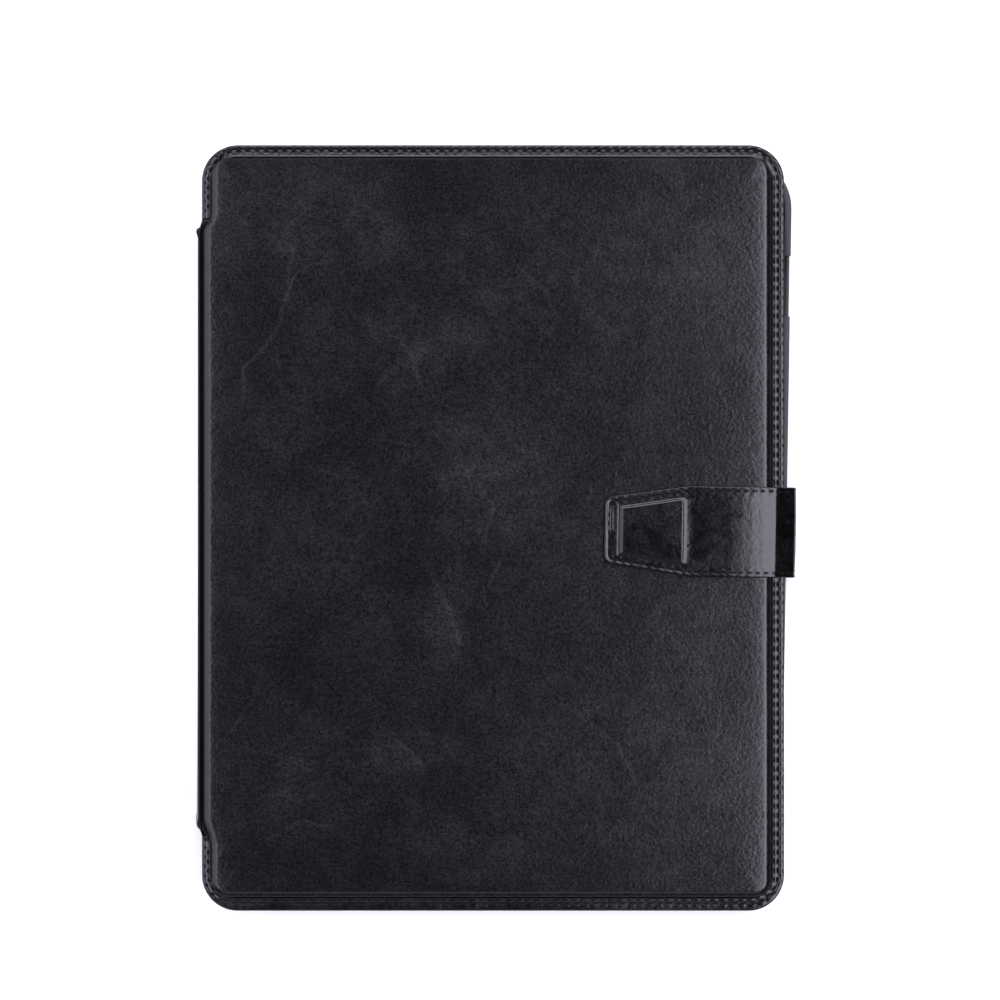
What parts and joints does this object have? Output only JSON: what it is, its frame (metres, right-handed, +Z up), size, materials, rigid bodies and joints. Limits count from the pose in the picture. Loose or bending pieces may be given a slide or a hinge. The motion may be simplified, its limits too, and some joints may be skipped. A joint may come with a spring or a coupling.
{
  "type": "tablet case",
  "caption": "Folio tablet case: padded leather cover and spine hinged on a stiff back with a snap-in tray, and a tapered magnetic strap that closes over the front.",
  "frame": {"origin": "centre of the tablet tray, on the outer face of the back, which the closed case lies on", "axes": "+X from the spine towards the strap, +Y towards the top of the case, +Z up out of the closed front cover"},
  "size_m": [0.2286, 0.293, 0.019],
  "materials": {
    "leather": "smooth waxed black leather, satin to glossy, fine grain",
    "strap_leather": "smooth black leather, glossy on the bends",
    "lining": "charcoal microfibre, matte",
    "thread": "waxed black thread",
    "tray": "fine texture, matte black polycarbonate",
    "board": "grey board",
    "stiffener": "plain stiffener sheet",
    "foam": "closed-cell foam sheet",
    "adhesive": "double-sided tape",
    "steel": "thin steel sheet",
    "magnet": "nickel-plated magnet"
  },
  "bodies": {
    "back": {"back_leather": "leather", "back_board": "board", "back_lining": "lining", "back_stitching": "thread", "tray_adhesive": "adhesive", "tablet_tray": "tray", "strap_root": "leather"},
    "spine": {"spine_leather": "leather", "spine_board": "stiffener", "spine_lining": "lining"},
    "front_cover": {"front_leather": "leather", "front_foam": "foam", "front_board": "board", "front_lining": "lining", "front_stitching": "thread", "front_catch_plate": "steel", "wake_magnets": "magnet"},
    "strap_side": {"strap_side_leather": "strap_leather", "strap_side_lining": "lining", "strap_side_stitching": "thread"},
    "strap_tab": {"strap_tab_leather": "strap_leather", "strap_tab_lining": "lining", "strap_magnet": "magnet", "magnet_pad": "stiffener", "strap_tab_stitching": "thread"}
  },
  "joints": [
    {"name": "spine_fold", "type": "hinge", "parent": "back", "child": "spine", "pos_m": [-0.1128, 0, 0.00055], "axis": [0, -1, 0], "range_deg": [0, 180]},
    {"name": "cover_fold", "type": "hinge", "parent": "spine", "child": "front_cover", "pos_m": [-0.11324, -0.00175, 0.01345], "axis": [0.0157, -0.9999, 0], "range_deg": [0, 180]},
    {"name": "strap_lift", "type": "hinge", "parent": "back", "child": "strap_side", "pos_m": [0.11225, 0, 0.00165], "axis": [0, 1, 0], "range_deg": [0, 100]},
    {"name": "strap_flap", "type": "hinge", "parent": "strap_side", "child": "strap_tab", "pos_m": [0.1052, 0, 0.01765], "axis": [0, 1, 0], "range_deg": [0, 130]}
  ]
}
